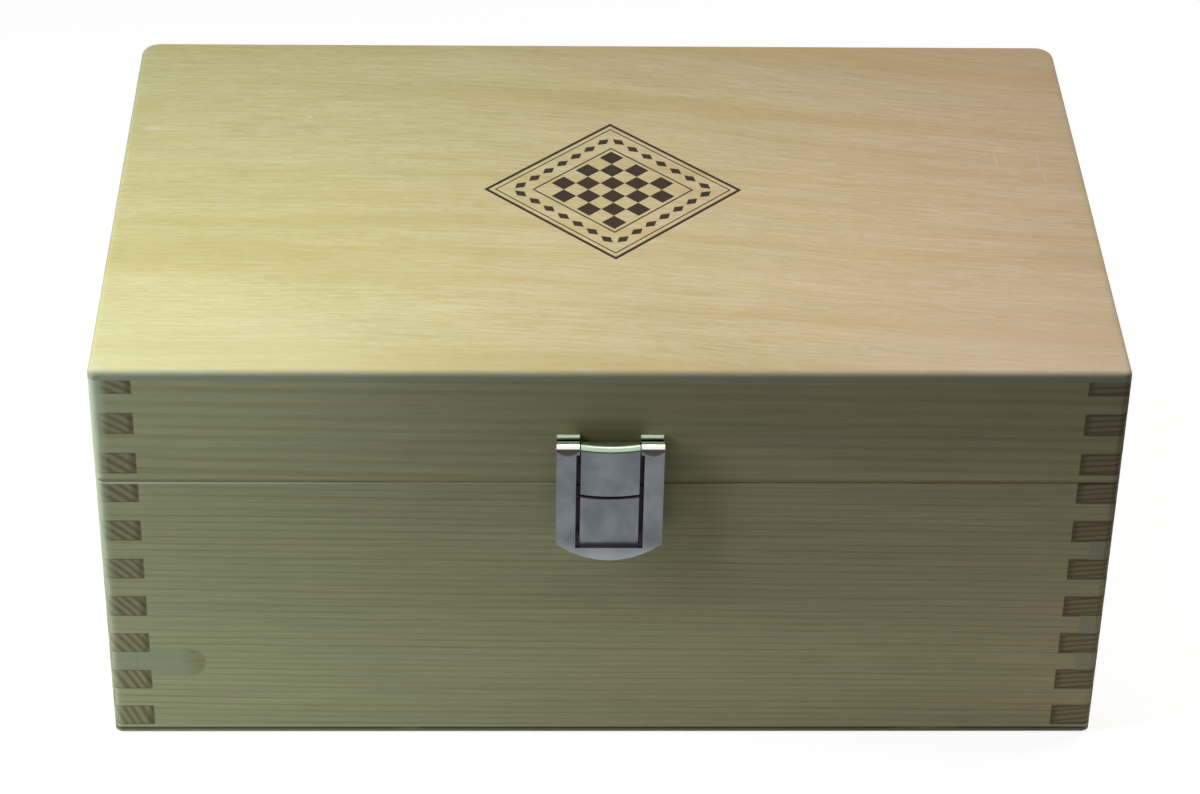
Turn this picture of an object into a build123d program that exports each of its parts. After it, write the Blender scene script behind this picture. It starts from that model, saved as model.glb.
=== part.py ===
from build123d import *
from math import hypot, sqrt
import os

# Wooden box with a hinged lid and a duck-bill clasp. Millimetres, +Z up.
# X runs along the front, -Y points to the front, the origin is the middle of the underside.
# The box is glued up from box-jointed boards and two thin panels, then sawn into base and lid.

# ---- Box -----------------------------------------------------------------------------------
box_width = 280.0
box_depth = 178.0
box_height = 126.0
board_thickness = 11.5
top_panel_thickness = 3.0
bottom_panel_thickness = 2.5
front_corner_radius = 2.2
back_corner_radius = 5.5
top_edge_radius = 1.8
bottom_edge_chamfer = 0.8

# ---- Saw cut between base and lid ------------------------------------------------------------
seam_height = 89.4
seam_gap = 0.2
rim_ease = 0.25

# ---- Box joints ------------------------------------------------------------------------------
finger_height = 6.6
first_finger_rise = 1.0
kerf_loss = 3.5
thinnest_finger = 0.4

# ---- Butt hinges -----------------------------------------------------------------------------
hinge_length = 30.0
hinge_inset = 52.0
leaf_width = 9.0
leaf_thickness = 1.0
hinge_knuckle_radius = 2.0
hinge_knuckle_count = 3
hinge_pin_radius = 0.9
hinge_pin_stick_out = 0.25
pin_clearance = 0.05
knuckle_gap = 0.25
swing_gap = 0.3
mortise_clearance = 0.15

# ---- Wood screws of the hinges ---------------------------------------------------------------
screw_spacing = 18.0
screw_shank_radius = 0.8
screw_head_radius = 1.7
screw_head_height = leaf_thickness
screw_length = 7.0
screw_slot_width = 0.5
screw_slot_depth = 0.35
fastener_clearance = 0.05

# ---- Clasp -----------------------------------------------------------------------------------
sheet = 1.0
clasp_width = 29.2
plate_inset = 0.2
window_width = 18.5
bill_width = 16.0
bill_bulge = 1.0
clasp_pin_radius = 0.9
clasp_pin_stick_out = 0.4
pin_end_chamfer = 0.25
bill_edge_chamfer = 0.45
bill_roll_radius = 1.65
notch_clearance = 0.3
clasp_knuckle_gap = 0.35
clasp_pin_stand_off = 3.5
pin_above_seam = 13.9
plate_above_pin = 2.6
plate_top_round = 0.8
plate_notch_rise = 6.5
mouth_drop = 0.7
mouth_gap = 0.6
floor_run = 2.0
floor_end = 4.0
window_drop = 17.7
catch_end_gap = 0.15
catch_clearance = 0.15
catch_plate_drop = 2.0
catch_crown_drop = 3.0
flap_arc_end_drop = 16.5
flap_arc_bottom_drop = 21.2
flare_start_drop = 10.4
flare_radius = 36.0

# ---- Nails of the clasp ----------------------------------------------------------------------
nail_offset = 11.6
lid_nail_rise = 7.2
catch_nail_drop = 9.4
nail_shank_radius = 0.65
nail_head_radius = 1.6
nail_head_height = 0.9
nail_head_chamfer = 0.5
nail_length = 8.0

# ---- Worked out from the sizes above ---------------------------------------------------------
front_y = -box_depth / 2
back_y = box_depth / 2
base_rim = seam_height - seam_gap / 2
lid_rim = seam_height + seam_gap / 2
base_board_bottom = bottom_panel_thickness
lid_board_top = box_height - top_panel_thickness
finger_pitch = 2 * finger_height
first_finger_z = base_board_bottom + first_finger_rise

hinge_axis_y = back_y + hinge_knuckle_radius + swing_gap
hinge_bore_radius = hinge_pin_radius + pin_clearance
knuckle_pitch = hinge_length / hinge_knuckle_count
screw_y = back_y - leaf_width / 2

knuckle_radius = clasp_pin_radius + pin_clearance + sheet
clasp_pin_z = seam_height + pin_above_seam
clasp_pin_y = front_y - clasp_pin_stand_off
plate_top_z = clasp_pin_z + plate_above_pin
mouth_z = seam_height - mouth_drop
window_bottom_z = seam_height - window_drop
flap_back = clasp_pin_stand_off + knuckle_radius - sheet
flap_corner_z = seam_height - flap_arc_end_drop
flap_bottom_z = seam_height - flap_arc_bottom_drop
lid_nail_z = lid_rim + lid_nail_rise
catch_nail_z = base_rim - catch_nail_drop


def block(x_range, y_range, z_range):
    """A box between two X, two Y and two Z values."""
    size = [high - low for low, high in (x_range, y_range, z_range)]
    middle = [(high + low) / 2 for low, high in (x_range, y_range, z_range)]
    return Pos(*middle) * Box(*size)


def mirrored(shape):
    """The same shape on the other side of the middle plane X = 0."""
    return mirror(shape, about=Plane.YZ)


def cross_rod(radius, x_low, x_high, y, z):
    """A round rod along X."""
    rod = Cylinder(radius, x_high - x_low)
    return Pos((x_low + x_high) / 2, y, z) * Rot(0, 90, 0) * rod


# ---- Wooden box ------------------------------------------------------------------------------
def box_outline():
    """The plan of the whole box, with its sanded upright corners."""
    outline = Rectangle(box_width, box_depth)
    corners = outline.vertices().sort_by(Axis.Y)
    outline = fillet(corners[:2], front_corner_radius)
    corners = outline.vertices().sort_by(Axis.Y)
    return fillet(corners[-2:], back_corner_radius)


def sanded(shape, z_low, z_high):
    """A board cut to the rounded plan of the box, with the sawn edge eased."""
    plan = Pos(0, 0, z_low) * extrude(box_outline(), z_high - z_low)
    sawn_face = plan.faces().sort_by(Axis.Z)[-1 if z_high < seam_height else 0]
    return shape & chamfer(sawn_face.edges(), rim_ease)


def side_fingers(z_low, z_high, shift):
    """Heights of the side boards' fingers between two levels. The lid's comb lost the saw kerf."""
    fingers = []
    z = first_finger_z - shift
    while z < z_high - thinnest_finger:
        low, high = max(z, z_low), min(z + finger_height, z_high)
        if high - low > thinnest_finger:
            fingers.append((low, high))
        z += finger_pitch
    return fingers


def gaps_between(fingers, z_low, z_high):
    """Heights that the given fingers leave free, where the other board's fingers go."""
    edges = [z_low] + [z for finger in fingers for z in finger] + [z_high]
    pairs = zip(edges[0::2], edges[1::2])
    return [(low, high) for low, high in pairs if high - low > thinnest_finger]


def long_board(side, z_low, z_high, shift):
    """Front board (side -1) or back board (side 1), notched for the side boards' fingers."""
    outer = side * box_depth / 2
    inner = side * (box_depth / 2 - board_thickness)
    y_range = (min(inner, outer), max(inner, outer))
    board = block((-box_width / 2, box_width / 2), y_range, (z_low, z_high))
    end = (box_width / 2 - board_thickness, box_width / 2)
    for finger in side_fingers(z_low, z_high, shift):
        notch = block(end, y_range, finger)
        board = board - notch - mirrored(notch)
    return sanded(board, z_low, z_high)


def short_board(side, z_low, z_high, shift):
    """Left board (side -1) or right board (side 1), notched for the long boards' fingers."""
    outer = side * box_width / 2
    inner = side * (box_width / 2 - board_thickness)
    x_range = (min(inner, outer), max(inner, outer))
    board = block(x_range, (front_y, back_y), (z_low, z_high))
    fingers = side_fingers(z_low, z_high, shift)
    for gap in gaps_between(fingers, z_low, z_high):
        board = board - block(x_range, (front_y, front_y + board_thickness), gap)
        board = board - block(x_range, (back_y - board_thickness, back_y), gap)
    return sanded(board, z_low, z_high)


def bottom_panel():
    """Thin panel glued under the boards, with a softened lower edge."""
    panel = extrude(box_outline(), bottom_panel_thickness)
    return chamfer(panel.faces().sort_by(Axis.Z)[0].edges(), bottom_edge_chamfer)


def top_panel():
    """Thin veneered panel glued on the boards, with its upper edge sanded round."""
    panel = Pos(0, 0, lid_board_top) * extrude(box_outline(), top_panel_thickness)
    return fillet(panel.faces().sort_by(Axis.Z)[-1].edges(), top_edge_radius)


# ---- Butt hinges -----------------------------------------------------------------------------
def hinge_centres():
    """X of the middle of each hinge, the same distance in from each end of the box."""
    return (hinge_inset - box_width / 2, box_width / 2 - hinge_inset)


def knuckle_ranges(centre, first):
    """X ranges of every second knuckle of a hinge, counted from the first one."""
    start = centre - hinge_length / 2
    indexes = range(first, hinge_knuckle_count, 2)
    half_gap = knuckle_gap / 2
    ranges = [(start + i * knuckle_pitch, start + (i + 1) * knuckle_pitch) for i in indexes]
    return [(low + half_gap, high - half_gap) for low, high in ranges]


def leaf_level(up):
    """The height range of a leaf: the base leaf (up -1) or the lid leaf (up 1)."""
    rim = lid_rim if up > 0 else base_rim
    return (min(rim, rim + up * leaf_thickness), max(rim, rim + up * leaf_thickness))


def screw_places(centre):
    return (centre - screw_spacing / 2, centre + screw_spacing / 2)


def hinge_leaf(centre, up):
    """One leaf let into the rim, with its knuckles behind the box and countersunk holes."""
    level = leaf_level(up)
    span = (centre - hinge_length / 2, centre + hinge_length / 2)
    leaf = block(span, (back_y - leaf_width, back_y), level)
    for low, high in knuckle_ranges(centre, 0 if up < 0 else 1):
        leaf += block((low, high), (back_y, hinge_axis_y), level)
        leaf += cross_rod(hinge_knuckle_radius, low, high, hinge_axis_y, seam_height)
    leaf -= cross_rod(hinge_bore_radius, *span, hinge_axis_y, seam_height)
    for x in screw_places(centre):
        leaf -= screw_body(x, up, fastener_clearance, slotted=False)
    return leaf


def screw_body(x, up, grow, slotted):
    """A countersunk wood screw driven into the rim, or the hole that it needs."""
    rim = lid_rim if up > 0 else base_rim
    head_radius = screw_head_radius + grow
    shank_radius = screw_shank_radius + grow
    head = Cone(head_radius, shank_radius, screw_head_height)
    head = Pos(0, 0, screw_head_height / 2) * head
    shank_length = screw_length - screw_head_height + grow
    shank = Cylinder(shank_radius, shank_length)
    shank = Pos(0, 0, screw_head_height + shank_length / 2) * shank
    screw = head + shank
    if slotted:
        slot = Box(2 * head_radius, screw_slot_width, screw_slot_depth)
        screw -= Pos(0, 0, screw_slot_depth / 2) * slot
    turn = 0 if up > 0 else 180
    return Pos(x, screw_y, rim) * Rot(turn, 0, 0) * screw


def hinge_screws(up):
    places = [x for centre in hinge_centres() for x in screw_places(centre)]
    return [screw_body(x, up, 0, slotted=True) for x in places]


def hinge_pin(centre):
    """The wire pin, cut off just proud of the outer knuckles."""
    half = hinge_length / 2 + hinge_pin_stick_out
    return cross_rod(hinge_pin_radius, centre - half, centre + half, hinge_axis_y, seam_height)


def mortise(centre, up):
    """The shallow recess in the rim that a leaf lies in."""
    half = hinge_length / 2 + mortise_clearance
    front = back_y - leaf_width - mortise_clearance
    return block((centre - half, centre + half), (front, back_y), leaf_level(up))


def with_hinge_seats(board, up):
    """A back board with its mortises and screw holes."""
    for centre in hinge_centres():
        board -= mortise(centre, up)
        for x in screw_places(centre):
            board -= screw_body(x, up, fastener_clearance, slotted=False)
    return board


# ---- Clasp -----------------------------------------------------------------------------------
# Its pieces are drawn by their stand-off from the front of the box: y = front_y - stand_off.
def side_profile(points, half_width):
    """A solid along X with the given outline of (stand-off, height) points."""
    outline = Plane.YZ * make_face(Polyline([(front_y - p, z) for p, z in points], close=True))
    return extrude(outline, half_width, both=True)


def bulge(crown, z_low, z_high):
    """A fat upright cylinder whose front bows out to the given stand-off in the middle."""
    half = bill_width / 2
    radius = (half ** 2 + bill_bulge ** 2) / (2 * bill_bulge)
    cylinder = Cylinder(radius, z_high - z_low)
    return Pos(0, front_y - crown + radius, (z_low + z_high) / 2) * cylinder, radius


def shield(half_width, z_top, z_corner, z_bottom, y_range):
    """A plate across the front with straight sides and a bottom edge that is one arc."""
    corner = (half_width, z_corner)
    arc = ThreePointArc((-half_width, z_corner), (0, z_bottom), corner)
    sides = Polyline([corner, (half_width, z_top), (-half_width, z_top), (-half_width, z_corner)])
    outline = Plane.XZ * make_face([*arc.edges(), *sides.edges()])
    y_low, y_high = y_range
    return Pos(0, y_high, 0) * extrude(outline, y_high - y_low)


def nail_body(x, z, grow):
    """A round-head nail driven through a plate into the wood, or the hole that it needs."""
    shank = Cylinder(nail_shank_radius + grow, nail_length + grow)
    shank = Pos(0, 0, -(nail_length + grow) / 2) * shank
    return Pos(x, front_y - sheet, z) * Rot(90, 0, 0) * shank


def nail(x, z):
    head = Cylinder(nail_head_radius, nail_head_height)
    head = chamfer(head.edges().sort_by(Axis.Z)[-1], nail_head_chamfer)
    head = Pos(x, front_y - sheet - nail_head_height / 2, z) * Rot(90, 0, 0) * head
    return nail_body(x, z, 0) + head


def nails(z):
    return [nail(side * nail_offset, z) for side in (-1, 1)]


def without_nail_holes(shape, z):
    for side in (-1, 1):
        shape -= nail_body(side * nail_offset, z, fastener_clearance)
    return shape


def clasp_lid_plate():
    """Plate on the lid. Its middle is folded out as a domed bill that curls round the pin."""
    foot = lid_rim + seam_gap
    plate_half = clasp_width / 2 - plate_inset
    plate = block((-plate_half, plate_half), (front_y - sheet, front_y), (foot, plate_top_z))
    top_front_edge = plate.edges().filter_by(Axis.X).group_by(Axis.Z)[-1].sort_by(Axis.Y)[0]
    plate = fillet(top_front_edge, plate_top_round)
    notch = (-bill_width / 2 - notch_clearance, bill_width / 2 + notch_clearance)
    plate -= block(notch, (front_y - sheet, front_y), (foot + plate_notch_rise, plate_top_z))

    crown = clasp_pin_stand_off + knuckle_radius + bill_bulge
    far = crown + sheet
    lip = mouth_z + mouth_gap / 2
    roof = clasp_pin_z + knuckle_radius
    half = bill_width / 2
    outer = side_profile([(0, foot + sheet), (0, foot), (floor_run, foot), (floor_end, lip),
                          (far, lip), (far, roof), (clasp_pin_stand_off, roof),
                          (clasp_pin_stand_off, clasp_pin_z), (floor_run, foot + sheet)], half)
    outer_bulge, radius = bulge(crown, lip - sheet, roof + sheet)
    outer = outer & outer_bulge
    arcs = outer.edges().filter_by(GeomType.CIRCLE).sort_by(Axis.Z)
    outer = fillet(arcs[-1], bill_roll_radius)
    arcs = outer.edges().filter_by(GeomType.CIRCLE).sort_by(Axis.Z)
    outer = chamfer(arcs[0], bill_edge_chamfer)

    inner = side_profile([(floor_run, foot + sheet), (floor_end + sheet / 2, lip + sheet),
                          (far, lip + sheet), (far, clasp_pin_z),
                          (clasp_pin_stand_off, clasp_pin_z)], half + sheet)
    inner_cylinder = Cylinder(radius - sheet, roof - lip)
    inner_middle = (0, front_y - crown + radius, (roof + lip) / 2)
    bill = outer - (inner & (Pos(*inner_middle) * inner_cylinder))

    barrel = cross_rod(knuckle_radius, -half, half, clasp_pin_y, clasp_pin_z)
    bore = cross_rod(clasp_pin_radius + pin_clearance, -half, half, clasp_pin_y, clasp_pin_z)
    return without_nail_holes(plate + bill + barrel - bore, lid_nail_z)


def clasp_catch_plate():
    """Plate on the base. Its domed bill ends just above the flap's crossbar."""
    lip = mouth_z - mouth_gap / 2
    plate = shield(clasp_width / 2 - plate_inset, base_rim - seam_gap,
                   flap_corner_z - catch_plate_drop, flap_bottom_z - catch_plate_drop,
                   (front_y - sheet, front_y))
    half = bill_width / 2
    end = window_bottom_z + catch_end_gap

    # The bill keeps inside the arc that the crossbar's upper edge follows as the lid opens.
    edge_y = front_y - flap_back - flare_offset(window_bottom_z)
    reach = hypot(hinge_axis_y - edge_y, seam_height - window_bottom_z) - catch_clearance
    path = cross_rod(reach, -half, half, hinge_axis_y, seam_height)
    path_inside = cross_rod(reach - sheet, -half, half, hinge_axis_y, seam_height)
    crown_level = seam_height - lip + catch_crown_drop
    crown = sqrt(reach ** 2 - crown_level ** 2) - (hinge_axis_y - front_y)

    block_of_bill = block((-half, half), (front_y - crown - sheet, front_y), (end, lip))
    outer_bulge, radius = bulge(crown, end - sheet, lip + sheet)
    outer = block_of_bill & outer_bulge & path
    inner_cylinder = Cylinder(radius - sheet, 2 * (lip - end))
    inner = path_inside & (Pos(0, front_y - crown + radius, (lip + end) / 2) * inner_cylinder)
    inner = inner & block((-half, half), (front_y - crown, front_y), (end - sheet, lip - sheet))
    arcs = outer.edges().filter_by(GeomType.CIRCLE).group_by(Axis.Z)[-1]
    outer = chamfer(arcs, bill_edge_chamfer)
    return without_nail_holes(plate + (outer - inner), catch_nail_z)


def flare_offset(z):
    """How far the flap's finger lip has bent out of its flat part at a height."""
    drop = max(0, seam_height - flare_start_drop - z)
    return flare_radius - sqrt(flare_radius ** 2 - drop ** 2)


def clasp_flap():
    """U-shaped flap: two knuckles round the pin, two strips, and a crossbar that flares out."""
    half = clasp_width / 2
    flare_z = seam_height - flare_start_drop

    # Side view: the flat part and the lip, bent round an axis in front of the box.
    flat = block((-half, half), (front_y - flap_back - sheet, front_y - flap_back),
                 (flare_z, clasp_pin_z))
    bend_y = front_y - flap_back - flare_radius
    bend = (cross_rod(flare_radius, -half, half, bend_y, flare_z)
            - cross_rod(flare_radius - sheet, -half, half, bend_y, flare_z))
    lip = bend & block((-half, half), (bend_y, front_y), (flap_bottom_z - sheet, flare_z))
    sheet_shape = flat + lip

    # Front view: the outline less the window.
    front_view = shield(half, clasp_pin_z, flap_corner_z, flap_bottom_z, (bend_y, front_y))
    window = block((-window_width / 2, window_width / 2), (bend_y, front_y),
                   (window_bottom_z, clasp_pin_z))
    flap = (sheet_shape & front_view) - window

    inner_end = bill_width / 2 + clasp_knuckle_gap
    bore = clasp_pin_radius + pin_clearance
    for low, high in ((inner_end, half), (-half, -inner_end)):
        flap += cross_rod(knuckle_radius, low, high, clasp_pin_y, clasp_pin_z)
        flap -= cross_rod(bore, low, high, clasp_pin_y, clasp_pin_z)
    return flap


def clasp_pin():
    """Wire pin that shows at both ends of the knuckles."""
    end = clasp_width / 2 + clasp_pin_stick_out
    pin = cross_rod(clasp_pin_radius, -end, end, clasp_pin_y, clasp_pin_z)
    return chamfer(pin.edges().filter_by(GeomType.CIRCLE), pin_end_chamfer)


# ---- All the pieces --------------------------------------------------------------------------
def base_pieces():
    level = (base_board_bottom, base_rim)
    return {
        "base_front_board": without_nail_holes(long_board(-1, *level, 0), catch_nail_z),
        "base_back_board": with_hinge_seats(long_board(1, *level, 0), -1),
        "base_left_board": short_board(-1, *level, 0),
        "base_right_board": short_board(1, *level, 0),
        "base_bottom_panel": bottom_panel(),
        "hinge_base_screws": hinge_screws(-1),
        "clasp_catch_plate": clasp_catch_plate(),
        "clasp_catch_nails": nails(catch_nail_z),
    }


def lid_pieces():
    level = (lid_rim, lid_board_top)
    return {
        "lid_front_board": without_nail_holes(long_board(-1, *level, kerf_loss), lid_nail_z),
        "lid_back_board": with_hinge_seats(long_board(1, *level, kerf_loss), 1),
        "lid_left_board": short_board(-1, *level, kerf_loss),
        "lid_right_board": short_board(1, *level, kerf_loss),
        "lid_top_panel": top_panel(),
        "hinge_lid_screws": hinge_screws(1),
        "clasp_lid_plate": clasp_lid_plate(),
        "clasp_lid_nails": nails(lid_nail_z),
        "clasp_pin": clasp_pin(),
        "clasp_flap": clasp_flap(),
    }


def hinge_pieces():
    pieces = {}
    for name, centre in zip(("left", "right"), hinge_centres()):
        pieces[f"{name}_hinge_base_leaf"] = hinge_leaf(centre, -1)
        pieces[f"{name}_hinge_lid_leaf"] = hinge_leaf(centre, 1)
        pieces[f"{name}_hinge_pin"] = hinge_pin(centre)
    return pieces


os.makedirs("parts", exist_ok=True)
for name, shape in {**base_pieces(), **lid_pieces(), **hinge_pieces()}.items():
    solids = shape if isinstance(shape, list) else [shape]
    solids = [solid for piece in solids for solid in piece.solids()]
    node = solids[0] if len(solids) == 1 else Compound(children=solids)
    node.label = name
    export_step(node, f"parts/{name}.step")
    print(name, len(solids), "solid(s)", round(sum(solid.volume for solid in solids), 1), "mm3")
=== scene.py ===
"""Looks of a finger-jointed pine box with a hinged lid: woods, plated metal, floor, lights and camera."""
import math

import bpy
from mathutils import Matrix, Vector


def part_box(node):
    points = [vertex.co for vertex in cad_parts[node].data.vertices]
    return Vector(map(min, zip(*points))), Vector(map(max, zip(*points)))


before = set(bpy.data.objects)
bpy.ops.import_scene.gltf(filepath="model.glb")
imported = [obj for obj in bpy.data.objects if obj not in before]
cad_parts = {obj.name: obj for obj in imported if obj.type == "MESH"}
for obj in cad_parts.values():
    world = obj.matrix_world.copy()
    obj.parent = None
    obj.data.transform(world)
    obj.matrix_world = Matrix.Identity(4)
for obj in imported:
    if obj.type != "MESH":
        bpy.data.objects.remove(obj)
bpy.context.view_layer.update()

# ---------------------------------------------------------------- sizes, in millimetres
METRE = 1000.0
FAR = 1000.0
LOW, HIGH = (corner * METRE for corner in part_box("base_front_board"))
HALF_WIDTH = HIGH.x
HALF_DEPTH = -LOW.y
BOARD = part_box("base_front_board")[1].y * METRE + HALF_DEPTH
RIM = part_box("base_front_board")[1].z * METRE
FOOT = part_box("base_front_board")[0].z * METRE
FINGER_ROOT_X = HALF_WIDTH - BOARD
FINGER_ROOT_Y = HALF_DEPTH - BOARD
FINGER = 6.6
FINGER_PITCH = 2 * FINGER
BASE_FIRST_FINGER = 3.5
LID_FIRST_FINGER = 92.4


# ---------------------------------------------------------------- node trees written as formulas
def srgb(red, green, blue):
    """A colour given as 0 to 255 screen values, as the linear values that shaders use."""
    shares = (red / 255, green / 255, blue / 255)
    return tuple(share / 12.92 if share < 0.0404 else ((share + 0.055) / 1.055) ** 2.4 for share in shares)


class Field:
    """A value that varies over a surface: one output socket of a node tree, with arithmetic."""

    def __init__(self, graph, socket):
        self.graph = graph
        self.socket = socket

    def apply(self, operation, *others):
        return self.graph.calculate(operation, self, *others)

    def __add__(self, other):
        return self.apply("ADD", other)

    def __sub__(self, other):
        return self.apply("SUBTRACT", other)

    def __mul__(self, other):
        return self.apply("MULTIPLY", other)

    def __truediv__(self, other):
        return self.apply("DIVIDE", other)

    def __mod__(self, other):
        return self.apply("FLOORED_MODULO", other)

    def __abs__(self):
        return self.apply("ABSOLUTE")

    def inverted(self):
        return self.graph.calculate("SUBTRACT", 1.0, self)

    def floor(self):
        return self.apply("FLOOR")

    def least(self, other):
        return self.apply("MINIMUM", other)

    def most(self, other):
        return self.apply("MAXIMUM", other)

    def hypot(self, other):
        return (self * self + other * other).apply("SQRT")

    def above(self, start, end):
        """0 below start, 1 above end, smooth between. With end below start it runs the other way."""
        node = self.graph.node("ShaderNodeMapRange", interpolation_type="SMOOTHSTEP")
        for name, given in (("Value", self), ("From Min", start), ("From Max", end)):
            self.graph.feed(node.inputs[name], given)
        return Field(self.graph, node.outputs["Result"])


class Graph:
    """A node tree, with short calls for the nodes that the finishes use."""

    def __init__(self, tree):
        self.tree = tree
        tree.nodes.clear()

    def node(self, kind, **settings):
        made = self.tree.nodes.new(kind)
        for setting, value in settings.items():
            setattr(made, setting, value)
        return made

    def feed(self, socket, value):
        if isinstance(value, Field):
            self.tree.links.new(value.socket, socket)
        elif socket.type == "RGBA" and len(value) == 3:
            socket.default_value = (*value, 1.0)
        else:
            socket.default_value = value

    def calculate(self, operation, *values):
        node = self.node("ShaderNodeMath", operation=operation)
        for socket, value in zip(node.inputs, values):
            self.feed(socket, value)
        return Field(self, node.outputs[0])

    def mix(self, factor, first, second, blend="MIX"):
        node = self.node("ShaderNodeMix", data_type="RGBA", blend_type=blend)
        for place, given in ((0, factor), (6, first), (7, second)):
            self.feed(node.inputs[place], given)
        return Field(self, node.outputs[2])

    def tinted(self, colour, tint):
        """A colour multiplied by another colour or by a brightness."""
        return self.mix(1.0, colour, tint, "MULTIPLY")

    def place(self):
        """x, y and z of the point at rest, in millimetres in the box's own frame."""
        coordinates = self.node("ShaderNodeTexCoord")
        scaled = self.node("ShaderNodeVectorMath", operation="SCALE")
        self.tree.links.new(coordinates.outputs["Object"], scaled.inputs[0])
        scaled.inputs["Scale"].default_value = METRE
        self.point = Field(self, scaled.outputs[0])
        parts = self.node("ShaderNodeSeparateXYZ")
        self.feed(parts.inputs[0], self.point)
        facing = self.node("ShaderNodeSeparateXYZ")
        self.tree.links.new(coordinates.outputs["Normal"], facing.inputs[0])
        self.facing = [Field(self, socket) for socket in facing.outputs]
        return [Field(self, socket) for socket in parts.outputs]

    def joined(self, x, y, z):
        node = self.node("ShaderNodeCombineXYZ")
        for socket, value in zip(node.inputs, (x, y, z)):
            self.feed(socket, value)
        return Field(self, node.outputs[0])

    def noise(self, sizes, seed, detail=2.0, roughness=0.5):
        """Soft random values round 0.5 whose lumps have these sizes in millimetres along x, y and z."""
        moved = self.node("ShaderNodeVectorMath", operation="MULTIPLY_ADD")
        self.feed(moved.inputs[0], self.point)
        moved.inputs[1].default_value = [1 / size for size in sizes]
        moved.inputs[2].default_value = (seed * 7.31, seed * 3.77, seed * 5.13)
        node = self.node("ShaderNodeTexNoise", noise_dimensions="3D")
        self.tree.links.new(moved.outputs[0], node.inputs["Vector"])
        node.inputs["Scale"].default_value = 1.0
        node.inputs["Detail"].default_value = detail
        node.inputs["Roughness"].default_value = roughness
        return Field(self, node.outputs[0])

    def noise_line(self, value, seed):
        """Soft random values round 0.5 along one number."""
        node = self.node("ShaderNodeTexNoise", noise_dimensions="1D")
        self.feed(node.inputs["W"], value + seed * 11.7)
        node.inputs["Scale"].default_value = 1.0
        node.inputs["Detail"].default_value = 1.0
        return Field(self, node.outputs[0])

    def random_of(self, value, seed):
        """A random value from 0 to 1 that is the same wherever the given value is the same."""
        node = self.node("ShaderNodeTexWhiteNoise", noise_dimensions="1D")
        self.feed(node.inputs["W"], value + seed * 0.37)
        return Field(self, node.outputs["Value"])

    def finish(self, colour, roughness, height, relief, **constants):
        """The shader and output nodes. Relief is the depth in millimetres of a height of 1."""
        shader = self.node("ShaderNodeBsdfPrincipled")
        bump = self.node("ShaderNodeBump")
        self.feed(bump.inputs["Height"], height)
        bump.inputs["Distance"].default_value = relief / METRE
        self.tree.links.new(bump.outputs[0], shader.inputs["Normal"])
        self.feed(shader.inputs["Base Color"], colour)
        self.feed(shader.inputs["Roughness"], roughness)
        for name, value in constants.items():
            shader.inputs[name.replace("_", " ")].default_value = value
        output = self.node("ShaderNodeOutputMaterial")
        self.tree.links.new(shader.outputs[0], output.inputs["Surface"])


def new_material(name):
    material = bpy.data.materials.new(name)
    material.use_nodes = True
    return material, Graph(material.node_tree)


def assign(material, *nodes):
    for name in nodes:
        for material_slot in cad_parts[name].material_slots:
            material_slot.material = material


def rounding(graph):
    """1 on the rounded edges, 0 on the flat faces."""
    nx, ny, nz = graph.facing
    return abs(nx * ny).most(abs(ny * nz)).most(abs(nx * nz)).above(0.10, 0.36)


# ---------------------------------------------------------------- pine
# PINE_LEFT and PINE_RIGHT: the pine's tone with a painted tint of the light, greener to the left and warmer
# to the right.
PINE_LEFT = srgb(203, 207, 160)
PINE_RIGHT = srgb(212, 201, 160)
# Pale tone for rubbed edges and for painted highlights on edges.
PINE_WEAR_AND_HIGHLIGHT = srgb(234, 244, 206)
LID_LINE = (0.91, 0.83, 0.74)
BASE_LINE = (0.92, 0.81, 0.68)
END_PALE = (0.75, 0.705, 0.71)
END_LINE = (0.46, 0.34, 0.26)
GLUE = srgb(104, 92, 66)
FILLER_TINT = (0.86, 0.92, 0.99)
STAIN = (0.74, 0.60, 0.46)
# A dark tint for painted shade round the clasp.
CLASP_SHADE_TINT = (0.12, 0.12, 0.10)
PINE_RELIEF = 0.035
PINE_GLOSS = 0.06
CROWDED_BELOW = 30.0


def stretched(grain, along, across):
    """Lump sizes that are long along the grain axis."""
    return tuple(along if axis == grain else across for axis in "xyz")


def growth_rings(graph, grain, along, across, z, heart, ring_gap, seed, drift, foot_crowding):
    """Distance from the dark middle of a year ring, 0 to 1, and how dark that ring is."""
    wander = graph.noise(stretched(grain, 190, 70), seed, 1.0) - 0.5
    rise = graph.noise(stretched(grain, 240, 60), seed + 1, 1.0) - 0.5
    ripple = graph.noise(stretched(grain, 30, 9), seed + 2, 2.0) - 0.5
    side = across + wander * 5.0 - heart[0]
    up = z + rise * 3.5 + along * drift - heart[1]
    radius = side.hypot(up) + ripple * 0.45
    rings = radius / ring_gap - (z * -1.0 + CROWDED_BELOW).most(0.0) * foot_crowding
    rings = rings + graph.noise_line(rings * 0.3, seed) * 0.6
    ring = rings.floor()
    return abs(rings - ring - 0.5) * 2.0, graph.random_of(ring, seed) * 0.45 + 0.60


def glue_share(x, y, z, end, left, first_finger):
    """How much glue shows: a line round each finger, and a soak into its end grain at the root."""
    step = (z - first_finger) % FINGER_PITCH
    to_joint = step.least(abs(step - FINGER)).least((step - FINGER_PITCH) * -1.0)
    side_finger = step.above(FINGER + 0.1, FINGER - 0.1)
    corner = abs(x).above(FINGER_ROOT_X - 0.3, FINGER_ROOT_X - 0.1)
    corner = corner * abs(y).above(FINGER_ROOT_Y - 0.3, FINGER_ROOT_Y - 0.1)
    front_root = abs(abs(x) - FINGER_ROOT_X) + side_finger.inverted() * FAR
    side_root = abs(abs(y) - FINGER_ROOT_Y) + side_finger * FAR
    to_root = front_root.least(side_root)
    soak = end * corner * to_root.above(2.3, 0.5) * 0.5
    line = corner * to_joint.least(to_root).above(left * -0.36 + 0.72, 0.06) * (left * -0.15 + 0.7)
    return soak.most(line)


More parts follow.
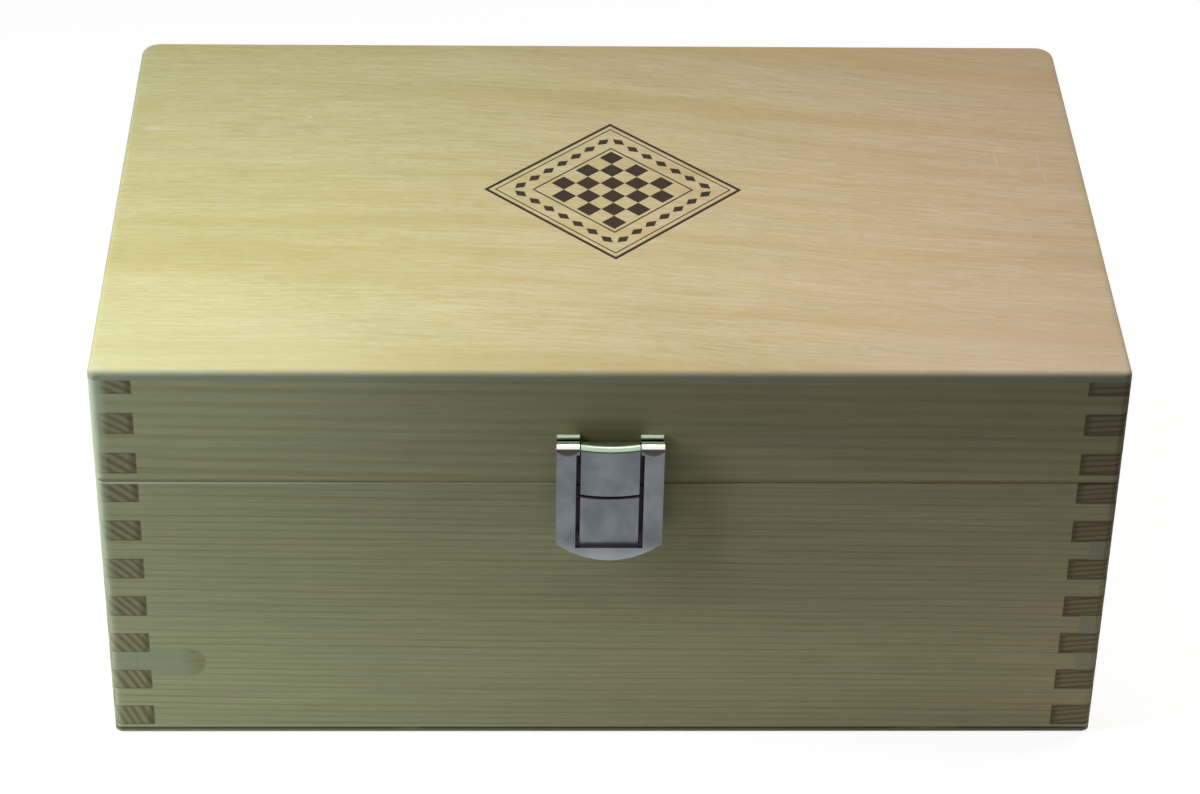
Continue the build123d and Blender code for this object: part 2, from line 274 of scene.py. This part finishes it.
def with_patches(graph, colour, plain, x, z, front, fibre, silk, patches):
    """Wood filler in the front, smoothed over, with a brown tail at its right end."""
    for low_x, high_x, low_z, high_z, round_end, brightness in patches:
        nearest_x = x.most(low_x + round_end).least(high_x - round_end)
        nearest_z = z.most(low_z + round_end).least(high_z - round_end)
        reach = (x - nearest_x).hypot(z - nearest_z) + (fibre - 0.5) * 1.0
        patch = reach.above(round_end + 0.4, round_end - 0.4) * front
        filler = graph.tinted(graph.tinted(plain, FILLER_TINT), (silk - 0.5) * 0.2 + brightness)
        colour = graph.mix(patch * 0.8, colour, filler)
        tail = patch * abs(x - high_x).above(8.0, 1.0) * fibre.above(0.35, 0.55) * 0.8
        colour = graph.mix(tail, colour, graph.tinted(plain, STAIN))
    return colour


def with_marks(graph, colour, plain, x, z, front, marks):
    """Small stains, and painted shade round the clasp, on the front, each a rectangle with soft edges."""
    for low_x, high_x, low_z, high_z, soft, tint in marks:
        mark = x.above(low_x - soft, low_x + soft) * x.above(high_x + soft, high_x - soft)
        mark = mark * z.above(low_z - soft, low_z + soft) * z.above(high_z + soft, high_z - soft)
        colour = graph.mix(mark * front * 0.45, colour, graph.tinted(plain, tint))
    return colour


def with_edge_light_shade_and_wear(graph, colour, plain, x, y, z, front, left, silk):
    """Pale edges, partly rubbed wear and partly painted highlight, most at the front left corner and the
    base's rim, and a painted brown shade along the lid's lower edge.
    """
    # Pale rounded edges, only towards the left: partly rubbed wear, partly painted highlight.
    pale_edges = rounding(graph) * (silk.above(0.30, 0.60) * 0.5 + 0.5) * (left * 0.30)
    # Painted highlights: a pale band down the front left corner, a pale line along the base's rim fading to
    # the right, and a pale line along the foot.
    corner_line = z.above(85.0, 120.0) * -1.3 + 137.4
    corner_strength = z.above(20.0, 95.0) * 0.6 + 0.3
    corner_highlight = (x + corner_line).above(1.6, -2.0) * y.above(-85.2, -87.0) * corner_strength
    fading = x.above(-30.0, -138.0)
    rim_edge = z.above(RIM - 0.75, RIM - 0.35) * z.above(RIM + 0.1, RIM)
    rim_highlight = y.above(-88.3, -88.7) * fading * rim_edge
    foot = z.above(FOOT + 0.7, FOOT + 0.3) * 0.35
    colour = graph.mix(pale_edges.most(corner_highlight).most(rim_highlight).most(foot), colour, PINE_WEAR_AND_HIGHLIGHT)
    # Painted brown shade along the lid's lower edge, stronger to the left.
    seam_shade = z.above(RIM + 0.15, RIM + 0.25) * z.above(RIM + 1.5, RIM + 0.7) * front
    return graph.mix(seam_shade * (fading * 0.4 + 0.5), colour, graph.tinted(plain, STAIN))


def pine(name, grain, heart, ring_gap, seed, first_finger, line_tint, line_width=0.34, drift=0.0,
         foot_crowding=0.0, end_width=0.45, patches=(), marks=()):
    """Solid pine board. Its rings run round a pith beside it; heart is the pith's place across the grain."""
    material, graph = new_material(name)
    x, y, z = graph.place()
    along, across = (x, y) if grain == "x" else (y, x)
    end = abs(graph.facing[0 if grain == "x" else 1]).above(0.5, 0.8)
    front = graph.facing[1].above(-0.7, -0.9)
    left = x.above(150.0, -150.0)
    to_line, strength = growth_rings(graph, grain, along, across, z, heart, ring_gap, seed, drift,
                                     foot_crowding)
    lasting = graph.noise(stretched(grain, 60, 4.0), seed + 7, 2.0).above(0.28, 0.62) * 0.40 + 0.60
    late = to_line.above(line_width * 1.8, line_width * 0.35) * strength * lasting
    end_late = to_line.above(end_width * 1.35, end_width * 0.75) * (strength * 0.5 + 0.5)
    fibre = graph.noise(stretched(grain, 14, 0.45), seed + 3, 3.0, 0.6)
    silk = graph.noise(stretched(grain, 45, 1.7), seed + 4, 2.0)
    tone = graph.noise(stretched(grain, 110, 26), seed + 5, 2.0)
    pores = graph.noise(stretched(grain, 6.0, 0.30), seed + 6, 1.0).above(0.62, 0.78)

    # Painted light and shade on the front: paler at its upper left, darker at its upper right and a little
    # darker in its middle.
    upper = z.above(88.0, 112.0) * front * (x.above(-120.0, 40.0) * -0.22 + 0.12)
    middle = z.above(30.0, 55.0) * front * abs(x - 20.0).above(130.0, 40.0) * -0.08
    painted_front_light = upper + middle

    plain = graph.mix(left, PINE_RIGHT, PINE_LEFT)
    long_colour = graph.mix(late, plain, graph.tinted(plain, line_tint))
    long_colour = graph.mix(pores * 0.30, long_colour, graph.tinted(plain, STAIN))
    brightness = (fibre - 0.5) * 0.30 + (silk - 0.5) * 0.24 + (tone - 0.5) * 0.16 + painted_front_light + 0.98
    long_colour = graph.tinted(long_colour, brightness)
    end_colour = graph.tinted(plain, graph.mix(end_late * 0.8, END_PALE, END_LINE))
    end_colour = graph.tinted(end_colour, (fibre - 0.5) * 0.3 + left * 0.14 + 0.84)
    colour = graph.mix(end, long_colour, end_colour)
    colour = graph.mix(glue_share(x, y, z, end, left, first_finger), colour, GLUE)
    colour = with_patches(graph, colour, plain, x, z, front, fibre, silk, patches)
    colour = with_marks(graph, colour, plain, x, z, front, marks)
    colour = with_edge_light_shade_and_wear(graph, colour, plain, x, y, z, front, left, silk)
    roughness = late * -0.08 + end * 0.12 + fibre * 0.12 + 0.48
    height = late * 0.5 + fibre * 0.6 + pores * -0.7 + end * fibre * 0.8
    graph.finish(colour, roughness, height, PINE_RELIEF, Specular_IOR_Level=PINE_GLOSS)
    return material


# ---------------------------------------------------------------- veneered panels
# VENEER_LEFT and VENEER_RIGHT: the veneer's tone with a painted tint of the light, greener to the left and
# pinker to the right.
VENEER_LEFT = srgb(207, 202, 146)
VENEER_RIGHT = srgb(217, 192, 155)
VENEER_TAN = (0.88, 0.78, 0.58)
VENEER_PALE = (1.06, 1.10, 1.28)
VENEER_FLECK = (0.96, 0.84, 0.62)
SCUFF_AND_HIGHLIGHT = srgb(222, 218, 200)
PLY_EDGE = srgb(180, 197, 170)
PLY_CORE = srgb(140, 152, 122)
BOTTOM_EDGE_LINE = srgb(70, 70, 52)
BURN = srgb(44, 27, 25)
VENEER_RELIEF = 0.03
VENEER_GLOSS = 0.12
EMBLEM_CENTRE = (2.4, 3.7)
EMBLEM_HALF = 25.8
EMBLEM_SQUARE = 5.0
EMBLEM_BAND = 20.4
# Pale scuffs on the lid, the last one a painted highlight on the front left corner: centre x and y, half
# width and half depth.
SCUFFS_AND_CORNER_HIGHLIGHT = ((66.0, 18.4, 1.9, 1.2), (115.2, 20.7, 0.5, 5.0), (127.6, 20.5, 0.5, 4.5),
          (118.0, 9.8, 3.2, 0.7), (128.4, 11.0, 0.5, 3.0), (-87.0, 44.1, 1.2, 1.0),
          (-132.7, 37.4, 3.0, 1.2), (-138.3, -87.3, 2.8, 1.6))


def burnt_diamond(x, y):
    """How burnt the veneer is: a chequered square set on its corner, in a lozenge band and a frame."""
    dx = (x - EMBLEM_CENTRE[0]) * math.sqrt(0.5)
    dy = (y - EMBLEM_CENTRE[1]) * math.sqrt(0.5)
    u = dx + dy
    v = dx - dy
    out = abs(u).most(abs(v))
    inside = abs(u).least(abs(v))

    def frame_line(distance, width):
        return abs(out - distance).above(width / 2 + 0.08, width / 2 - 0.08)

    board_half = 3 * EMBLEM_SQUARE
    parity = ((u / EMBLEM_SQUARE).floor() + (v / EMBLEM_SQUARE).floor()) % 2.0
    chequer = parity * out.above(board_half + 0.05, board_half - 0.05)
    lozenge_pitch = EMBLEM_HALF * 2 / 9
    step = (inside + lozenge_pitch / 2) % lozenge_pitch - lozenge_pitch / 2
    lozenge = (abs(step) * 0.62 + abs(out - EMBLEM_BAND)).above(1.55, 1.35)
    lines = frame_line(EMBLEM_HALF, 1.0).most(frame_line(EMBLEM_HALF - 1.9, 0.4))
    lines = lines.most(frame_line(board_half + 1.2, 0.5))
    return lines.most(chequer).most(lozenge)


def veneered(name, seed, is_lid):
    """Sliced veneer on thin plywood, grain along the box, with the plies showing on its edges."""
    material, graph = new_material(name)
    x, y, z = graph.place()
    flow = y + x * 0.02 + x.above(-50.0, 165.0) * (y * 0.12 + 26.0)
    graph.point = graph.joined(x, flow, z)
    sway = graph.noise((60.0, 25.0, 30.0), seed + 12, 1.0)
    graph.point = graph.joined(x, flow + (sway - 0.5) * 5.0, z)
    dash = graph.noise((4.0, 0.60, 0.5), seed, 2.0, 0.6)
    stroke = graph.noise((12.0, 1.3, 2.0), seed + 1, 2.0, 0.55)
    streak = graph.noise((10.0, 0.9, 1.0), seed + 6, 1.0).above(0.56, 0.72)
    gleam = graph.noise((8.0, 1.0, 1.0), seed + 7, 2.0).above(0.58, 0.76)
    fleck = graph.noise((4.5, 0.75, 1.0), seed + 11, 1.0).above(0.58, 0.72)
    thread = graph.noise((40.0, 0.60, 1.0), seed + 10, 2.0)
    band = graph.noise((230.0, 9.0, 20.0), seed + 3, 2.0, 0.5)
    broad = graph.noise((300.0, 24.0, 30.0), seed + 13, 1.0)
    lively = graph.noise((45.0, 10.0, 9.0), seed + 9, 2.0).above(0.30, 0.70) * 0.7 + 0.5
    patchy = graph.noise((40.0, 12.0, 9.0), seed + 4, 2.0)
    pores = graph.noise((2.6, 0.30, 0.3), seed + 5, 1.0).above(0.62, 0.80)

    plain = graph.mix((x + (patchy - 0.5) * 60.0).above(-150.0, 150.0), VENEER_LEFT, VENEER_RIGHT)
    tan = graph.tinted(plain, VENEER_TAN)
    pale = graph.tinted(plain, VENEER_PALE)
    figure = (dash * 0.35 + stroke * 0.35 + thread * 0.3).above(0.38, 0.62)
    colour = graph.mix(figure, graph.mix(0.40, plain, tan), graph.mix(0.45, plain, pale))
    colour = graph.mix((band * 0.5 + broad * 0.5).above(0.44, 0.60) * 0.52, colour, tan)
    colour = graph.mix(streak * lively * 0.45, colour, tan)
    colour = graph.mix(gleam * lively * 0.40, colour, pale)
    colour = graph.mix(fleck * lively * 0.60, colour, graph.tinted(plain, VENEER_FLECK))
    colour = graph.mix(y.above(78.0, 86.0) * 0.25, colour, tan)
    colour = graph.mix(pores * 0.25, colour, tan)

    # Painted sheen: towards the front the veneer is paler at both ends, and its figure is quieter. Painted
    # shade: darker towards the back right and in the middle.
    near = y.above(-30.0, -90.0)
    colour = graph.mix(near * abs(x).above(30.0, 110.0) * 0.35, colour, pale)
    painted_top_shade = y.above(-110.0, 110.0) * x.above(140.0, -140.0) * 0.17
    painted_top_shade = painted_top_shade + abs(x - 10.0).above(120.0, 0.0) * (near * 0.08 + 0.03)
    fine = ((dash - 0.5) * 0.11 + (thread - 0.5) * 0.11) * (near * -0.5 + 1.0)
    colour = graph.tinted(colour, fine + (patchy - 0.5) * 0.16 + painted_top_shade * -1.0 + 1.08)
    height = dash * 0.6 + pores * -1.0 + stroke * 0.4
    roughness = dash * 0.12 + stroke * 0.10 + 0.42
    if is_lid:
        top = graph.facing[2].above(0.5, 0.8)
        for scuff_x, scuff_y, half_x, half_y in SCUFFS_AND_CORNER_HIGHLIGHT:
            reach = ((x - scuff_x) / half_x).hypot((y - scuff_y) / half_y) + (dash - 0.5) * 1.2
            colour = graph.mix(reach.above(1.2, 0.6) * top * 0.40, colour, SCUFF_AND_HIGHLIGHT)
        burn = burnt_diamond(x, y) * top
        colour = graph.mix(burn * 0.96, colour, BURN)
        height = height - burn * 3.0
        roughness = roughness + burn * 0.2

    edge_face = abs(graph.facing[2]).above(0.75, 0.35)
    # The ply edges get painted shade, darker towards the right.
    edge_tone = graph.tinted(PLY_EDGE if is_lid else PLY_CORE, x.above(150.0, -150.0) * 0.25 + 0.75)
    colour = graph.mix(edge_face * 0.75, colour, edge_tone)
    if not is_lid:
        # A broken dark line along the bottom panel's edge.
        broken = graph.noise((14.0, 14.0, 3.0), seed + 8, 1.0).above(0.25, 0.4)
        edge_line = z.above(1.5, 1.7) * z.above(2.4, 2.2) * broken
        colour = graph.mix(edge_face * edge_line * 0.75, colour, BOTTOM_EDGE_LINE)
    pale_edges = rounding(graph) * (stroke.above(0.35, 0.60) * 0.5 + 0.5)
    colour = graph.mix(pale_edges * 0.30, colour, pale)
    graph.finish(colour, roughness, height, VENEER_RELIEF, Specular_IOR_Level=VENEER_GLOSS)
    return material


# ---------------------------------------------------------------- metal
NICKEL_LIGHT = srgb(112, 116, 119)
NICKEL_DARK = srgb(94, 99, 103)
# The pale, gleaming and white tones are painted highlights; the two dark tones after them are painted shade
# and dark reflections.
NICKEL_PALE = srgb(150, 158, 158)
NICKEL_GLEAM = srgb(178, 196, 170)
NICKEL_WHITE = srgb(238, 244, 228)
NICKEL_SHADE = srgb(62, 54, 48)
NICKEL_GAP_SHADE = srgb(44, 36, 40)
ZINC_LIGHT = srgb(160, 160, 156)
ZINC_DARK = srgb(118, 118, 112)
METAL_RELIEF = 0.010
CLASP_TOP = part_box("clasp_flap")[1].z * METRE
CLASP_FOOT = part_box("clasp_flap")[0].z * METRE
CLASP_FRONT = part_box("clasp_lid_plate")[0].y * METRE
KNUCKLE_RADIUS = 1.95
PIN_LEVEL = CLASP_TOP - KNUCKLE_RADIUS
MOUTH_LEVEL = 88.7
WINDOW_HALF = 9.25
BILL_HALF = 8.0
KNUCKLE_MIDDLE = 11.6
BEHIND_BILL = -90.4


def plated(name, light, dark, roughness_low, seed, marks=()):
    """Pressed and plated sheet metal: cloudy polish and faint draw lines, with (mask, colour) marks."""
    material, graph = new_material(name)
    x, y, z = graph.place()
    cloud = graph.noise((7.0, 7.0, 10.0), seed, 2.0, 0.5)
    lines = graph.noise((0.30, 0.30, 12.0), seed + 1, 2.0)
    speck = graph.noise((0.5, 0.5, 0.5), seed + 2, 2.0, 0.6).above(0.64, 0.74)
    colour = graph.mix((cloud * 0.88 + lines * 0.12).above(0.32, 0.68), light, dark)
    colour = graph.mix(speck * 0.12, colour, dark)
    for mask_of, tone in marks:
        colour = graph.mix(mask_of(graph, x, y, z, cloud), colour, tone)
    roughness = cloud * 0.16 + lines * 0.06 + roughness_low
    graph.finish(colour, roughness, lines * 0.15 + cloud * 0.85, METAL_RELIEF, Metallic=1.0)
    return material


# The marks are painted highlights, painted dark reflections and painted shade in the gaps: each gives how
# much of its colour shows, from 0 to 1.
def under_knuckle(graph, x, y, z, cloud):
    """Painted dark reflection: the curved band where the sheet turns into the knuckle."""
    lower = (abs(x) - KNUCKLE_MIDDLE) / 2.9
    level = z - (lower * lower * 1.3 + PIN_LEVEL - 1.1)
    return level.above(-0.25, 0.25) * y.above(CLASP_FRONT + 3.5, CLASP_FRONT + 2.5) * 0.85


def knuckle_crown(graph, x, y, z, cloud):
    """Painted highlight on the upper side of the flap's knuckles."""
    return graph.facing[2].above(0.46, 0.60) * z.above(PIN_LEVEL, PIN_LEVEL + 0.4)


def pale_foot(graph, x, y, z, cloud):
    """Painted highlight on the finger lip, which bends out to the light."""
    return (z + cloud * 1.5).above(CLASP_FOOT + 7.0, CLASP_FOOT + 0.5) * 0.75


def hollow_sides(graph, x, y, z, cloud):
    """Painted shade on the cut edges of the window and the sides of the bill, which face each other across a
    narrow gap.
    """
    beside = abs(x).above(WINDOW_HALF + 0.6, WINDOW_HALF + 0.4)
    return abs(graph.facing[0]).above(0.5, 0.8) * beside


def hollow_ground(graph, x, y, z, cloud):
    """Painted shade on the plate behind the gaps round the bill."""
    behind = y.above(BEHIND_BILL - 0.8, BEHIND_BILL - 0.2)
    beside = abs(x).above(WINDOW_HALF + 0.7, WINDOW_HALF + 0.2)
    return behind * beside * z.above(PIN_LEVEL + 1.0, PIN_LEVEL)


def mouth_upper(graph, x, y, z, cloud):
    """Painted shade on the lower edge of the lid's half of the bill."""
    return z.above(MOUTH_LEVEL + 0.85, MOUTH_LEVEL + 0.45) * y.above(-91.0, -92.0)


def mouth_lower(graph, x, y, z, cloud):
    """Painted shade on the upper edge of the base's half of the bill."""
    return z.above(MOUTH_LEVEL - 0.95, MOUTH_LEVEL - 0.55)


def roof_line(graph, x, y, z, cloud):
    """A painted dark reflection: the thin line where the bill starts to turn over its roof."""
    turn = graph.facing[2].above(0.10, 0.22) * graph.facing[2].above(0.42, 0.32)
    return turn * z.above(PIN_LEVEL, PIN_LEVEL + 0.3) * 0.8


def roof_gleam(graph, x, y, z, cloud):
    """Painted highlight on the roof of the bill."""
    return graph.facing[2].above(0.34, 0.44) * z.above(PIN_LEVEL + 0.3, PIN_LEVEL + 0.6)


def ear_shade(graph, x, y, z, cloud):
    """Painted shade on the plate's ears behind the knuckles."""
    behind = y.above(BEHIND_BILL - 0.8, BEHIND_BILL)
    return z.above(PIN_LEVEL - 1.0, PIN_LEVEL) * behind * abs(x).above(BILL_HALF + 0.1, BILL_HALF + 0.3)


def ear_gleam(graph, x, y, z, cloud):
    """Painted highlight on the upper edge of the ears."""
    return z.above(PIN_LEVEL + 1.15, PIN_LEVEL + 1.45) * y.above(BEHIND_BILL - 0.8, BEHIND_BILL)


# ---------------------------------------------------------------- finishes on the pieces
# Filler: low x, high x, low z, high z, radius of the ends, brightness.
LEFT_PATCH = (-150.0, -113.0, 21.5, 31.0, 4.3, 0.95)
RIGHT_PATCHES = tuple((133.5, 145.0, low, low + FINGER, 0.5, 0.88) for low in (23.3, 36.5, 62.9))
# Stains, and painted shade round the clasp: low x, high x, low z, high z, softness, tint.
BASE_MARKS = ((-137.4, -136.6, 26.4, 27.2, 0.25, STAIN), (-132.4, -132.0, 23.9, 28.3, 0.25, STAIN),
              (137.7, 138.9, 52.4, 53.6, 0.25, STAIN))
# Painted shade above and round the clasp.
CLASP_PAINTED_SHADE = ((-8.6, 8.6, 102.0, 107.0, 0.5, CLASP_SHADE_TINT), (-10.0, 10.0, 100.0, 109.5, 2.5, CLASP_SHADE_TINT),
               (-14.0, 14.0, 98.0, 110.0, 6.0, STAIN))

assign(pine("pine_base_front", "x", (70, -260), 2.15, 1, BASE_FIRST_FINGER, BASE_LINE,
            line_width=0.24, drift=0.016, foot_crowding=0.075,
            patches=(LEFT_PATCH, *RIGHT_PATCHES), marks=BASE_MARKS), "base_front_board")
assign(pine("pine_lid_front", "x", (60, -230), 3.5, 11, LID_FIRST_FINGER, LID_LINE,
            line_width=0.38, drift=0.016, marks=CLASP_PAINTED_SHADE), "lid_front_board")
assign(pine("pine_base_back", "x", (-40, 260), 3.4, 21, BASE_FIRST_FINGER, LID_LINE,
            drift=-0.01), "base_back_board")
assign(pine("pine_lid_back", "x", (-30, 270), 4.0, 31, LID_FIRST_FINGER, LID_LINE,
            drift=-0.01), "lid_back_board")
assign(pine("pine_base_left", "y", (-224, -35), 2.3, 41, BASE_FIRST_FINGER, BASE_LINE,
            drift=0.01), "base_left_board")
assign(pine("pine_lid_left", "y", (-224, -35), 2.5, 41, LID_FIRST_FINGER, BASE_LINE,
            drift=0.01), "lid_left_board")
assign(pine("pine_base_right", "y", (150, -140), 1.7, 61, BASE_FIRST_FINGER, BASE_LINE,
            drift=0.01, end_width=0.36), "base_right_board")
assign(pine("pine_lid_right", "y", (150, -140), 1.9, 61, LID_FIRST_FINGER, BASE_LINE,
            drift=0.01, end_width=0.36), "lid_right_board")
assign(veneered("veneer_lid", 81, True), "lid_top_panel")
assign(veneered("veneer_bottom", 91, False), "base_bottom_panel")
assign(plated("nickel_flap", NICKEL_LIGHT, NICKEL_DARK, 0.20, 5,
              ((pale_foot, NICKEL_PALE), (under_knuckle, NICKEL_SHADE), (knuckle_crown, NICKEL_WHITE),
               (hollow_sides, NICKEL_GAP_SHADE))), "clasp_flap")
assign(plated("nickel_lid_plate", NICKEL_LIGHT, NICKEL_DARK, 0.20, 15,
              ((hollow_ground, NICKEL_GAP_SHADE), (hollow_sides, NICKEL_GAP_SHADE), (mouth_upper, NICKEL_GAP_SHADE),
               (roof_line, NICKEL_SHADE), (roof_gleam, NICKEL_GLEAM), (ear_shade, NICKEL_SHADE),
               (ear_gleam, NICKEL_GLEAM))), "clasp_lid_plate")
assign(plated("nickel_catch_plate", NICKEL_LIGHT, NICKEL_DARK, 0.20, 25,
              ((hollow_ground, NICKEL_GAP_SHADE), (hollow_sides, NICKEL_GAP_SHADE), (mouth_lower, NICKEL_GAP_SHADE))),
       "clasp_catch_plate")
assign(plated("nickel", NICKEL_LIGHT, NICKEL_DARK, 0.22, 35),
       "clasp_pin", "clasp_lid_nails", "clasp_catch_nails", "left_hinge_base_leaf",
       "right_hinge_base_leaf", "left_hinge_lid_leaf", "right_hinge_lid_leaf")
assign(plated("zinc", ZINC_LIGHT, ZINC_DARK, 0.30, 7),
       "left_hinge_pin", "right_hinge_pin", "hinge_base_screws", "hinge_lid_screws")

# ---------------------------------------------------------------- floor, world and lamps
FLOOR_HALF = 3.0
FLOOR_SEEN = (0.40, 0.40, 0.40)
FLOOR_LIFT = 0.86
FLOOR_NEAR = (0.98, 1.00, 0.96)
FLOOR_FAR = (0.12, 0.12, 0.12)
BOUNCE_FADE = (30.0, 230.0)
WORLD_STRENGTH = 0.02
WORLD_TINT = (0.94, 1.0, 1.0)


def shown_to_eye(graph):
    """1 for rays from the camera, mirror reflections and glass, 0 for the light that falls on the object."""
    path = graph.node("ShaderNodeLightPath")
    seen = Field(graph, path.outputs["Is Camera Ray"])
    for name in ("Is Glossy Ray", "Is Transmission Ray"):
        seen = seen.most(Field(graph, path.outputs[name]))
    return seen


def pale_floor():
    """White to the eye. The light that it throws up on the box fades away from the box."""
    low, high = -FLOOR_HALF, FLOOR_HALF
    mesh = bpy.data.meshes.new("floor")
    mesh.from_pydata([(low, low, 0), (high, low, 0), (high, high, 0), (low, high, 0)], [], [(0, 1, 2, 3)])
    floor = bpy.data.objects.new("floor", mesh)
    bpy.context.scene.collection.objects.link(floor)
    material, graph = new_material("floor")
    x, y, _ = graph.place()
    away = (abs(x) - HALF_WIDTH).most(0.0).hypot((abs(y) - HALF_DEPTH).most(0.0))
    thrown = graph.mix(away.above(*BOUNCE_FADE), FLOOR_NEAR, FLOOR_FAR)
    seen = shown_to_eye(graph)
    white = graph.node("ShaderNodeBsdfDiffuse")
    graph.feed(white.inputs["Color"], graph.mix(seen, thrown, FLOOR_SEEN))
    lift = graph.node("ShaderNodeEmission")
    graph.feed(lift.inputs["Strength"], seen * FLOOR_LIFT)
    both = graph.node("ShaderNodeAddShader")
    graph.tree.links.new(white.outputs[0], both.inputs[0])
    graph.tree.links.new(lift.outputs[0], both.inputs[1])
    output = graph.node("ShaderNodeOutputMaterial")
    graph.tree.links.new(both.outputs[0], output.inputs["Surface"])
    material.cycles.emission_sampling = "NONE"
    mesh.materials.append(material)


def studio_world():
    """White to the eye, and nearly dark as a light."""
    world = bpy.data.worlds.new("studio")
    bpy.context.scene.world = world
    world.use_nodes = True
    graph = Graph(world.node_tree)
    dim = graph.node("ShaderNodeBackground")
    dim.inputs["Color"].default_value = (*WORLD_TINT, 1.0)
    dim.inputs["Strength"].default_value = WORLD_STRENGTH
    white = graph.node("ShaderNodeBackground")
    white.inputs["Color"].default_value = (1.0, 1.0, 1.0, 1.0)
    white.inputs["Strength"].default_value = 1.0
    choice = graph.node("ShaderNodeMixShader")
    graph.feed(choice.inputs[0], shown_to_eye(graph))
    graph.tree.links.new(dim.outputs[0], choice.inputs[1])
    graph.tree.links.new(white.outputs[0], choice.inputs[2])
    output = graph.node("ShaderNodeOutputWorld")
    graph.tree.links.new(choice.outputs[0], output.inputs["Surface"])


def softbox(name, place, target, width, height, watts, spread=180.0, tint=(1.0, 1.0, 1.0)):
    """A rectangular lamp that faces its target. Spread is in degrees, sizes are in metres."""
    lamp = bpy.data.lights.new(name, "AREA")
    lamp.shape = "RECTANGLE"
    lamp.size = width
    lamp.size_y = height
    lamp.energy = watts
    lamp.spread = math.radians(spread)
    lamp.color = tint
    holder = bpy.data.objects.new(name, lamp)
    bpy.context.scene.collection.objects.link(holder)
    holder.location = place
    holder.rotation_euler = (Vector(target) - Vector(place)).to_track_quat("-Z", "Y").to_euler()


# ---------------------------------------------------------------- camera
# It stands in front of the box and looks down on it, a little turned and tilted.
CAMERA_PLACE = Vector((-0.02756, -0.86090, 0.65966))
CAMERA_YAW = math.radians(1.819)
CAMERA_PITCH = math.radians(35.047)
CAMERA_ROLL = math.radians(1.165)
SENSOR_WIDTH = 36.0
LENS = 105.51


def photograph_camera():
    camera = bpy.data.cameras.new("camera")
    camera.sensor_fit = "HORIZONTAL"
    camera.sensor_width = SENSOR_WIDTH
    camera.lens = LENS
    camera.clip_start = 0.01
    holder = bpy.data.objects.new("camera", camera)
    bpy.context.scene.collection.objects.link(holder)
    level = Vector((math.cos(CAMERA_YAW), -math.sin(CAMERA_YAW), 0.0))
    forward = Vector((math.sin(CAMERA_YAW) * math.cos(CAMERA_PITCH),
                      math.cos(CAMERA_YAW) * math.cos(CAMERA_PITCH),
                      -math.sin(CAMERA_PITCH)))
    corner_highlight = level.cross(forward)
    right = level * math.cos(CAMERA_ROLL) + corner_highlight * math.sin(CAMERA_ROLL)
    up = corner_highlight * math.cos(CAMERA_ROLL) - level * math.sin(CAMERA_ROLL)
    turn = Matrix((right, up, -forward)).transposed().to_4x4()
    holder.matrix_world = Matrix.Translation(CAMERA_PLACE) @ turn
    bpy.context.scene.camera = holder


pale_floor()
studio_world()
softbox("overhead", (-0.03, 0.03, 0.56), (-0.09, -0.17, 0.126), 0.42, 0.22, 0.52, spread=106.0)
softbox("left", (-0.42, -0.158, 0.37), (0, -0.02, 0.08), 0.2, 0.35, 1.5, tint=(0.94, 1.0, 1.12))
softbox("back_right", (0.65, 0.40, 0.65), (0, 0, 0.06), 0.5, 0.5, 2.3)
photograph_camera()
bpy.context.scene.view_settings.view_transform = "Standard"
